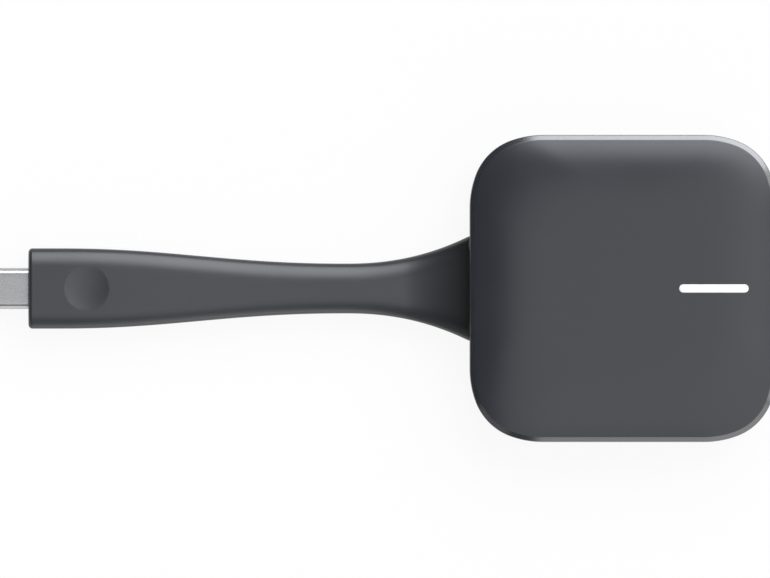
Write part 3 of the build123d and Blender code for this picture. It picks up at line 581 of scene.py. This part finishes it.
# Cable. Six power and signal wires in coloured insulation leave the jacket in the puck and fan
# out to the board's connector; the jacket lies in the tray's cradle under a screwed clamp.
def tube(name, rows, finishes):
    """Wires of one diameter along smooth lines; each row of points has its own finish."""
    line = bpy.data.curves.new(name, "CURVE")
    line.dimensions = "3D"
    line.bevel_depth, line.bevel_resolution, line.resolution_u = wire_radius * mm, 3, 6
    line.use_fill_caps = True
    for index, (points, finish) in enumerate(zip(rows, finishes)):
        line.materials.append(finish.material)
        run = line.splines.new("NURBS")
        run.points.add(len(points) - 1)
        for point, place in zip(run.points, in_metres(points)):
            point.co = (*place, 1)
        run.order_u, run.use_endpoint_u, run.material_index = 3, True, index
    drawn_line = new_object(name, line)
    mesh = settled(drawn_line)
    bpy.data.objects.remove(drawn_line)
    smooth(mesh, 40)
    return new_object(name, mesh)


wire_radius = 0.35
insulation = []
for shade, colour in (
    ("red", (0.5, 0.02, 0.02)),
    ("black", (0.02, 0.02, 0.02)),
    ("green", (0.02, 0.25, 0.05)),
    ("white", (0.7, 0.7, 0.68)),
    ("blue", (0.02, 0.06, 0.35)),
    ("yellow", (0.7, 0.5, 0.05)),
):
    lighter = tuple(min(1, 1.25 * part) for part in colour)
    insulation.append(moulded("insulation_" + shade, colour, lighter, 0.35, 0.2 * mm, 0.002 * mm))
middle_line, connector_level, connector_pitch = 4.2, 6.6, 1.5
lay_radius = 1.1
fan = []
for index, slot in enumerate((2.5, 1.5, -1.5, -2.5, -0.5, 0.5)):
    turn = radians(60 * index)
    y, z = lay_radius * cos(turn), middle_line + lay_radius * sin(turn)
    leaving = [(x, y, z) for x in (-20.9, -20.0, -19.2)]
    arriving = [(x, connector_pitch * slot, connector_level) for x in (-16.5, -15.7, -14.8)]
    fan.append(leaving + arriving)
cable_wires = tube("board_wires", fan, insulation)
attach(cable_wires, "base")
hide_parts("cable_wires")
clamp_plastic = moulded(
    "frame_plastic", (0.03, 0.03, 0.032), (0.04, 0.04, 0.042), 0.5, 0.15 * mm, 0.004 * mm
)
dress(clamp_plastic, "cable_clamp")
clamp_holes, clamp_top = [(-23.9, -7), (-23.9, 7)], 5.55
set_screws("clamp_screws_set", clamp_holes, clamp_top, "clamp_screws")


def rounded_ring(x, width, thickness, rounding, steps, flats):
    """Points round a rectangle with rounded corners that stands across the tail's line."""
    side, rise = width / 2 - rounding, thickness / 2 - rounding
    ring = []
    for corner, (across, up) in enumerate(((1, 1), (-1, 1), (-1, -1), (1, -1))):
        for step in range(steps + 1):
            angle = radians(90 * (corner + step / steps))
            y = across * side + rounding * cos(angle)
            ring.append((x, y, middle_line + up * rise + rounding * sin(angle)))
        if across == up:
            for step in range(1, flats):
                run = 1 - 2 * step / flats
                ring.append((x, across * run * side, middle_line + up * (rise + rounding)))
    return ring


jacket = moulded(
    "cable_jacket", (0.02, 0.02, 0.021), (0.03, 0.03, 0.032), 0.5, 0.3 * mm, 0.004 * mm
)
cable_end, cable_length, cable_width, cable_steps = -102.35, 81.45, 3.6, 160
cable_rings = []
for step in range(cable_steps + 1):
    x = cable_end + cable_length * step / cable_steps
    cable_rings.append(rounded_ring(x, cable_width, cable_width, cable_width / 2, 8, 1))
tail_cable = loft("round_cable", cable_rings, jacket)
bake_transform(tail_cable)
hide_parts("tail_cable")

# Plug. A seamless drawn steel shell, nickel plated, round a black insulator whose slot holds two
# rows of twelve sprung gold contacts; behind it a small board, its wires and a hard inner moulding.
nickel = Finish("plug_steel", Metallic=1.0)
die_lines = nickel.noise(0.08 * mm, 3, (0.04, 1, 1))
wear = nickel.noise(2.5 * mm, 4)
nickel.set(
    Base_Color=nickel.mix(wear, (0.48, 0.487, 0.495), (0.54, 0.547, 0.555)),
    Roughness=0.23 + 0.04 * die_lines + 0.05 * wear,
    Normal=nickel.bump(die_lines, 0.0003 * mm),
)
shell_width, shell_thickness, shell_wall = 8.25, 2.4, 0.25
shell_tip, shell_end = -125.65, -113.5
lip_radius, lip_steps = shell_wall / 2, 8
stations = [(shell_end, 0), (shell_tip + shell_wall, 0), (shell_tip + lip_radius, 0)]
for step in range(1, lip_steps + 1):
    angle = pi * step / lip_steps - pi / 2
    stations.append((shell_tip + lip_radius * (1 - cos(angle)), lip_radius * (1 + sin(angle))))
stations += [(shell_tip + shell_wall, shell_wall), (shell_end, shell_wall)]
shell_rings = []
for x, inset in reversed(stations):
    width, thickness = shell_width - 2 * inset, shell_thickness - 2 * inset
    shell_rings.append(rounded_ring(x, width, thickness, shell_thickness / 2 - inset, 16, 6))
plug_shell = loft("drawn_shell", shell_rings, nickel, closed=True)
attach(plug_shell, "plug")
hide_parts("plug_shell")

contact = Shape(
    "spring_contacts",
    Count=12,
    Pitch=0.5 * mm,
    Width=0.25 * mm,
    Thickness=0.15 * mm,
    Length=13.4 * mm,
    Bump_Height=0.1 * mm,
    Bump_Length=0.8 * mm,
    Gap=0.7 * mm,
    Turn=0.0,
)
spine_points = 60
spine_step = contact.place(X=contact.size("Length") / (spine_points - 1))
end_to_end = {"Count": spine_points, "Offset": spine_step}
spine = contact.node("GeometryNodeMeshLine", {"mode": "OFFSET"}, end_to_end)
point = contact.node("GeometryNodeInputPosition")
along = contact.node("ShaderNodeSeparateXYZ", {}, {"Vector": point})
half_bump = contact.size("Bump Length") / 2
from_bump = (along - half_bump) / half_bump
bulge = contact.maths("MAXIMUM", 1 - from_bump * from_bump, 0.0)
sprung = {"Geometry": spine, "Offset": contact.place(Z=0 - contact.size("Bump Height") * bulge)}
spine = contact.node("GeometryNodeSetPosition", {}, sprung)
strip_face = {"Width": contact.size("Width"), "Height": contact.size("Thickness")}
strip = {
    "Curve": contact.node("GeometryNodeMeshToCurve", {}, {"Mesh": spine}),
    "Profile Curve": contact.node("GeometryNodeCurvePrimitiveQuadrilateral", {}, strip_face),
    "Fill Caps": True,
}
spring = contact.node("GeometryNodeCurveToMesh", {}, strip)
first = contact.place(
    Y=0 - contact.size("Pitch") * (contact.size("Count") - 1) / 2,
    Z=(contact.size("Gap") + contact.size("Thickness")) / 2,
)
side_by_side = {
    "Count": contact.size("Count"),
    "Start Location": first,
    "Offset": contact.place(Y=contact.size("Pitch")),
}
row = contact.node("GeometryNodeMeshLine", {"mode": "OFFSET"}, side_by_side)
comb = contact.node("GeometryNodeInstanceOnPoints", {}, {"Points": row, "Instance": spring})
over = contact.place(X=contact.size("Turn"))
comb = contact.node("GeometryNodeTransform", {}, {"Geometry": comb, "Rotation": over})
contact.finish(contact.set_at_places(comb), gold)
for side, turn in (("upper", 0.0), ("lower", pi)):
    springs = contact.make(side + "_springs", [(-124.6, 0, middle_line)], Turn=turn)
    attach(springs, "plug")
    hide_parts(side + "_contacts")
leads = []
for y, z in ((0.7, 0.7), (-0.7, 0.7), (-0.7, -0.7), (0.7, -0.7)):
    leads.append([(x, y, middle_line + z) for x in (-103.1, -102.9, -102.6, -102.4)])
plug_wires = tube("plug_leads", leads, insulation)
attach(plug_wires, "plug")
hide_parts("plug_wires")
dress(epoxy, "plug_insulator", "plug_chip")
dress(can_steel, "plug_latches", "plug_shield")
dress(laminate, "plug_board")
dress(clamp_plastic, "plug_core")

# Tail. One soft elastomer moulding over the hard core and the cable: a grip with a thumb dimple
# that draws in to a neck, spreads into the puck and ends in a flange locked behind the wall. Its
# skin has a faint bloom where it is handled, and painted shade darkens it towards the puck.
elastomer = Finish("tail_elastomer", IOR=1.68)
bloom = elastomer.noise(9 * mm, 4)
skin_grain = elastomer.noise(0.09 * mm, 3)
handled = elastomer.mix(
    0.6 * bloom + 0.4 * skin_grain, (0.0264, 0.0286, 0.0338), (0.0308, 0.0330, 0.0382)
)
along = elastomer.node("ShaderNodeSeparateXYZ", {}, {"Vector": elastomer.place}, out="X")
# Painted shade: near the puck wall the base colour fades to near black, standing in for the puck's
# shadow.
painted_puck_shade = elastomer.ramp(along, -44 * mm, -31 * mm)
elastomer.set(
    Base_Color=elastomer.mix(painted_puck_shade, handled, (0.0096, 0.0100, 0.0112)),
    Roughness=0.26 + 0.06 * bloom + 0.05 * skin_grain,
    Normal=elastomer.bump(skin_grain, 0.004 * mm),
)
tail = Shape(
    "tail_moulding",
    Start_X=-119.0 * mm,
    Wall_X=-30.85 * mm,
    Neck_X=-55.35 * mm,
    Swell_X=-114.6 * mm,
    Middle_Height=middle_line * mm,
    Grip_Width=16.1 * mm,
    Grip_Thickness=7.2 * mm,
    Neck_Width=10.0 * mm,
    Neck_Thickness=6.4 * mm,
    Root_Width=20.9 * mm,
    Root_Rise=1.6 * mm,
    Foot_Rise=0.31 * mm,
    Flare_Power=2.2,
    Shoulder_Power=2.9,
    Rise_X=-43.5 * mm,
    Rise_Power=1.7,
    Corner_Reach=4.1 * mm,
    Corner_Rise=1.8 * mm,
    End_Rounding=0.8 * mm,
    Dimple_X=-107.15 * mm,
    Dimple_Width=9.3 * mm,
    Dimple_Depth=0.27 * mm,
)
skin_rows, corner_steps, flat_steps = 260, 10, 16
arc_starts = [0]
for flat in (flat_steps, 1, flat_steps):
    arc_starts.append(arc_starts[-1] + corner_steps + flat)
arc_ends = [start + corner_steps for start in arc_starts]
around = arc_ends[-1] + 1


def sleeve(rows, station):
    """A grid wrapped round the tail's line.

    From the share of the way along, the station gives the place, width and thickness, how far
    each corner reaches across and up, and the middle's height.
    """
    sockets = {"Size X": rows - 1, "Size Y": around, "Vertices X": rows, "Vertices Y": around + 1}
    sheet = tail.node("GeometryNodeMeshGrid", {}, sockets)
    at = tail.node("ShaderNodeSeparateXYZ", {}, {"Vector": tail.node("GeometryNodeInputPosition")})
    column = at.out("Y") + around / 2
    x, width, thickness, reach, rounding, middle = station(0.5 + at / (rows - 1))

    def crossing(start, steps):
        return 2 * tail.ramp(column, start, start + steps)

    top, left, bottom, right = arc_ends
    side = 1 - crossing(top, flat_steps) + crossing(bottom, flat_steps)
    rise = 1 - crossing(left, 1) + crossing(right, 1)
    quarters = sum(tail.ramp(column, start, end) for start, end in zip(arc_starts, arc_ends))
    angle = quarters * (pi / 2)
    y = side * (width / 2 - reach) + reach * tail.maths("COSINE", angle)
    z = rise * (thickness / 2 - rounding) + rounding * tail.maths("SINE", angle) + middle
    sockets = {"Geometry": sheet, "Position": tail.place(X=x, Y=y, Z=z)}
    return tail.node("GeometryNodeSetPosition", {}, sockets)


def between(first, second):
    """A station that runs straight from one section to the next."""
    return lambda share: [a + share * (b - a) for a, b in zip(first, second)]


def skin_station(share):
    """The outer skin: swelling from the neck to the grip, flaring from the neck to the root."""
    gone = share**1.6 * (wall_x - start_x)
    x = start_x + gone
    swell = tail.ramp(x, tail.size("Neck X"), tail.size("Swell X"))
    swell = 1 - (1 - swell ** tail.size("Flare Power")) ** tail.size("Shoulder Power")
    flare = tail.ramp(x, tail.size("Neck X"), wall_x) ** tail.size("Flare Power")
    lift = tail.ramp(x, tail.size("Rise X"), wall_x) ** tail.size("Rise Power") * root_rise
    thickness = neck_thickness + swell * (grip_thickness - neck_thickness) + lift
    width = tail.size("Neck Width")
    spread = flare * (root_width - width)
    width = width + swell * (grip_width - width) + spread
    left = tail.maths("MAXIMUM", end_rounding - gone, 0.0)
    fallen = tail.maths("MAXIMUM", end_rounding * end_rounding - left * left, 0.0)
    inset = end_rounding - tail.maths("SQRT", fallen)
    reach, rise = [corner - inset for corner in corner_size]
    return x, width - 2 * inset, thickness - 2 * inset, reach, rise, middle_height + lift / 2


def hollow(x, width, thickness, rounding):
    """A section of the hollow inside, in millimetres, with round corners."""
    return x * mm, width * mm, thickness * mm, rounding * mm, rounding * mm, middle_line * mm


start_x, wall_x = tail.size("Start X"), tail.size("Wall X")
grip_width, grip_thickness = tail.size("Grip Width"), tail.size("Grip Thickness")
root_width, neck_thickness = tail.size("Root Width"), tail.size("Neck Thickness")
root_rise, foot_rise = tail.size("Root Rise"), tail.size("Foot Rise")
end_rounding, middle_height = tail.size("End Rounding"), tail.size("Middle Height")
corner_size = [tail.size("Corner Reach"), tail.size("Corner Rise")]
face_edge = [
    start_x,
    grip_width - 2 * end_rounding,
    grip_thickness - 2 * end_rounding,
    *[corner - end_rounding for corner in corner_size],
    middle_height,
]
root_edge = [
    wall_x,
    root_width,
    neck_thickness + root_rise,
    *corner_size,
    middle_height + root_rise / 2,
]
foot = [
    root_width - 0.04 * mm,
    neck_thickness + foot_rise,
    *corner_size,
    middle_height + foot_rise / 2 + 0.01 * mm,
]
bore, bore_rows = 3.7, 140
slot_in = hollow(-118.05, 8.35, 2.5, 1.25)
# The sections in turn, from the slot in the end face. The outer skin lies where None stands.
path = [
    slot_in,
    hollow(-119.0, 8.35, 2.5, 1.25),
    face_edge,
    None,
    root_edge,
    [wall_x, *foot],
    [-30.65 * mm, *foot],
    hollow(-30.65, 14.0, 4.36, 1.2),
    hollow(-29.1, 14.0, 4.36, 1.2),
    hollow(-29.1, 18.0, 4.4, 1.2),
    hollow(-27.1, 18.0, 4.4, 1.2),
    hollow(-27.1, bore, bore, bore / 2),
    hollow(-96.95, bore, bore, bore / 2),
    hollow(-96.95, 13.3, 5.1, 1.4),
    hollow(-118.05, 13.3, 5.1, 1.4),
    slot_in,
]
sleeves = [sleeve(skin_rows, skin_station)]
for before, after in zip(path, path[1:]):
    if before and after:
        in_bore = before[1] == after[1] == bore * mm
        sleeves.append(sleeve(bore_rows if in_bore else 2, between(before, after)))
hide = tail.node("GeometryNodeJoinGeometry", {}, {"Geometry": sleeves})
hide = tail.node("GeometryNodeMergeByDistance", {}, {"Geometry": hide, "Distance": 0.001 * mm})
hide = tail.node("GeometryNodeFlipFaces", {}, {"Mesh": hide})
dimple_width, dimple_depth = tail.size("Dimple Width"), tail.size("Dimple Depth")
thumb_radius = (dimple_width**2 / 4 + dimple_depth**2) / (2 * dimple_depth)
thumb_height = middle_height + grip_thickness / 2 + thumb_radius - dimple_depth
ball = {"Segments": 128, "Rings": 128, "Radius": thumb_radius}
thumb = {
    "Geometry": tail.node("GeometryNodeMeshUVSphere", {}, ball),
    "Translation": tail.place(X=tail.size("Dimple X"), Z=thumb_height),
    "Rotation": (0.11, 0.07, 0.23),
}
pressed = {"Mesh 1": hide, "Mesh 2": tail.node("GeometryNodeTransform", {}, thumb)}
exact = {"operation": "DIFFERENCE", "solver": "EXACT"}
tail.finish(tail.node("GeometryNodeMeshBoolean", exact, pressed), elastomer)
soft_tail = tail.make("soft_tail", crease=14)
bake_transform(soft_tail)
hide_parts("tail_overmould")

# Middle frame. A moulded plate that closes the notch over the tail, guides the cover's posts and
# has an upstand that hides the pressing gap; four screws, and a silicone ring on each guide.
dress(clamp_plastic, "mid_frame")
frame_holes, frame_top = [(22.5 * x, 22.5 * y) for x, y in corners], 7.8
set_screws("frame_screws_set", frame_holes, frame_top, "frame_screws")
bumper = Shape(
    "return_ring",
    Outer_Diameter=5.0 * mm,
    Inner_Diameter=3.4 * mm,
    Height=1.9 * mm,
    Edge_Radius=0.2 * mm,
)
outer, inner = bumper.size("Outer Diameter"), bumper.size("Inner Diameter")
loop = {"Resolution": 48, "Radius": (outer + inner) / 4}
cut_face = {"Width": (outer - inner) / 2, "Height": bumper.size("Height")}
eased = {
    "Curve": bumper.node("GeometryNodeCurvePrimitiveQuadrilateral", {}, cut_face),
    "Count": 4,
    "Radius": bumper.size("Edge Radius"),
}
swept = {
    "Curve": bumper.node("GeometryNodeCurvePrimitiveCircle", {}, loop),
    "Profile Curve": bumper.node("GeometryNodeFilletCurve", {"mode": "POLY"}, eased),
}
ring = bumper.node("GeometryNodeCurveToMesh", {}, swept)
bumper.finish(bumper.set_at_places(ring), silicone)
guides, ring_middle = [(19 * x, 19 * y) for x, y in corners], 10.35
return_rings = bumper.make("return_rings", raised(guides, ring_middle))
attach(return_rings, "base")
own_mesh(return_rings)
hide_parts("return_bumpers")

# Top cover. The whole upper half of the puck presses down: one moulding with a low crowned face
# that falls away to a crisp bevelled rim, posts and hooks inside, and a slot for the light bar.
cover_foot, cover_ceiling, bevel_start, bevel_width = 8.4, 11.35, 11.95, 1.0
crown_edge, crown_rise, crown_run, crown_steps = 12.5, 1.1, 15, 44


def crown_height(inset):
    """Height of the crowned face at an inset from the rim's inner edge."""
    return crown_edge + crown_rise * (1 - (1 - min(inset, crown_run) / crown_run) ** 3)


inner_line = [
    (2.2, cover_ceiling, 0),
    (wall, cover_ceiling, 0.3),
    (wall, cover_foot, 0.1),
    (0.0, cover_foot, 0.15),
    (0.0, 10.5, 0),
]
outer_line = [
    (0.0, 10.5, 0),
    (0.0, bevel_start, 0.22),
    (bevel_width, crown_edge, 0.1),
    (bevel_width + 0.3, crown_height(0.3), 0),
]
outer_line = rounded(outer_line)[1:]
for step in range(2, crown_steps + 1):
    run = crown_run * step / crown_steps
    outer_line.append((bevel_width + run, crown_height(run)))
cover_rings = [raised(soft_square(inset), z) for inset, z in rounded(inner_line)]
for inset, z in outer_line:
    cover_rings.append(raised(soft_square(inset, min(inset, bevel_width)), z))
flat_middle = soft_square(bevel_width + crown_run, bevel_width)
for share in (0.93, 0.86, 0.79, 0.7, 0.6, 0.5, 0.4, 0.3, 0.2, 0.1, 0.03):
    smaller = [(x * share, y * share) for x, y in flat_middle]
    cover_rings.append(raised(smaller, crown_height(crown_run)))
top_cover = loft("press_cover", cover_rings, shell_plastic, crease=60)
cover_works = merged_copy("top_cover", shell_plastic, "cover_works")
combine(cover_works, upright("inside", room_inside, (5.0, 11.4), shell_plastic), "INTERSECT")
combine(top_cover, cover_works, "UNION")
bar_middle, bar_length, bar_width = 18.0, 13.85, 1.65


def bar_outline(spread):
    """Points round the light bar with its half-round ends, spread sideways from its outline."""
    end_steps, side_steps = 24, 20
    radius = bar_width / 2 + spread
    reach = (bar_length - bar_width) / 2
    ring = []
    for end in (1, -1):
        for step in range(end_steps + 1):
            angle = radians(90 * (2 * step / end_steps - end))
            ring.append((bar_middle + end * reach + radius * cos(angle), radius * sin(angle)))
        for step in range(1, side_steps):
            ring.append((bar_middle + end * reach * (1 - 2 * step / side_steps), end * radius))
    return ring


slot_gap = 0.03
bar_slot = upright("bar_slot", bar_outline(slot_gap), (11.2, 13.9), shell_plastic)
combine(top_cover, bar_slot, "DIFFERENCE")
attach(top_cover, "cover")
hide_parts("top_cover")


# Light bar. A lens in milky white plastic, lit by the LEDs through a film and a white funnel; its
# top follows the crown and its flange sits under the cover.
def on_crown(spread, above):
    """A ring round the bar, spread sideways from its outline, at a height over the crown."""
    rim = puck_half - bevel_width
    return [(x, y, crown_height(rim - x) + above) for x, y in bar_outline(spread)]


lens_white = Finish("light_white", Emission_Strength=0.12, Emission_Color=(1.0, 1.0, 1.0))
milk = lens_white.noise(0.6 * mm, 3)
lens_white.vary(milk, (0.82, 0.82, 0.82), (0.88, 0.88, 0.88), 0.3, 0.1, 0.002 * mm)
flange_foot, flange_top, flange_reach = 10.5, 11.29, 1.2
lens_line = [
    (0.9, flange_foot, 0),
    (flange_reach, flange_foot, 0.1),
    (flange_reach, flange_top, 0.1),
    (0.0, flange_top, 0.05),
    (0.0, 12.0, 0),
]
lens_rings = [raised(bar_outline(spread), z) for spread, z in rounded(lens_line)]
lens_rings += [on_crown(0.0, -0.10), on_crown(-0.01, -0.03)]
lens_rings += [on_crown(spread, 0.0) for spread in (-0.05, -0.3, -0.5, -0.74, -0.81)]
light_bar = loft("bar_lens", lens_rings, lens_white, crease=60)
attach(light_bar, "cover")
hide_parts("light_bar")
dress(lens_white, "diffuser_film")
dress(white_plastic, "light_funnel")

# Studio. A pale floor that sweeps up into a low wall all round; it shows near white and keeps a
# soft shadow. Round soft boxes light the object: a large key from the upper right, one at the
# side and one overhead for the crown, a broad low fill, and two weak ones for the lower rims.
paper = Finish("floor_paper", Roughness=0.9)
fibre = paper.noise(30 * mm, 3)
paper.set(Base_Color=paper.mix(fibre, (0.85, 0.85, 0.85), (0.87, 0.87, 0.87)))
rays = paper.node("ShaderNodeLightPath", out="Is Camera Ray")
seen = rays + rays.out("Is Glossy Ray") + rays.out("Is Transmission Ray")
seen_share = 0.92 * paper.maths("MINIMUM", seen, 1.0)
white = {"Color": (1, 1, 1, 1), "Strength": 1.0}
glow = paper.node("ShaderNodeEmission", {}, white, out="Emission")
lit = Value(paper, paper.surface.outputs[0])
shown = paper.node("ShaderNodeMixShader", {}, {0: seen_share, 1: lit, 2: glow})
paper.tree.links.new(shown.socket, paper.tree.nodes["Material Output"].inputs["Surface"])
floor_level, flat_radius, sweep_radius, floor_sides = -0.05, 3000, 300, 72
sweep = [(1000, floor_level), (flat_radius, floor_level)]
for tilt in range(10, 91, 10):
    out, up = sweep_radius * sin(radians(tilt)), sweep_radius * cos(radians(tilt))
    sweep.append((flat_radius + out, sweep_radius - up))
floor_points = []
for radius, height in sweep:
    for at in range(floor_sides):
        angle = radians(360 / floor_sides * at)
        floor_points.append((radius * cos(angle), radius * sin(angle), height))
floor_faces = [tuple(range(floor_sides))]
for row in range(len(sweep) - 1):
    here, there = row * floor_sides, (row + 1) * floor_sides
    for at in range(floor_sides):
        after = (at + 1) % floor_sides
        floor_faces.append((here + at, there + at, there + after, here + after))
floor = mesh_piece("floor", floor_points, floor_faces, paper)


def soft_lamp(name, azimuth, elevation, spread, strength, tint=(1, 1, 1)):
    """Even light from a far round soft box, seen from the object at an azimuth and elevation."""
    lamp = bpy.data.lights.new(name, "SUN")
    lamp.energy, lamp.angle, lamp.color = strength, radians(spread), tint
    a, e = radians(azimuth), radians(elevation)
    towards = Vector((cos(a) * cos(e), sin(a) * cos(e), sin(e)))
    new_object(name, lamp).rotation_euler = towards.to_track_quat("Z", "Y").to_euler()


soft_lamp("key", 62, 45, 60, 3.15, (0.94, 0.955, 1.0))
soft_lamp("side", 5, 33, 44, 0.66)
soft_lamp("overhead", -45, 73, 42, 0.43)
soft_lamp("fill", -58, 17, 69, 1.13)
soft_lamp("front", 270, 8, 26, 0.16)
soft_lamp("bounce", 228, 24, 40, 0.1)
world = bpy.data.worlds.new("studio")
world.use_nodes = True
world.node_tree.nodes["Background"].inputs["Color"].default_value = (0.05, 0.05, 0.05, 1)
bpy.context.scene.world = world
bpy.context.scene.view_settings.view_transform = "Standard"
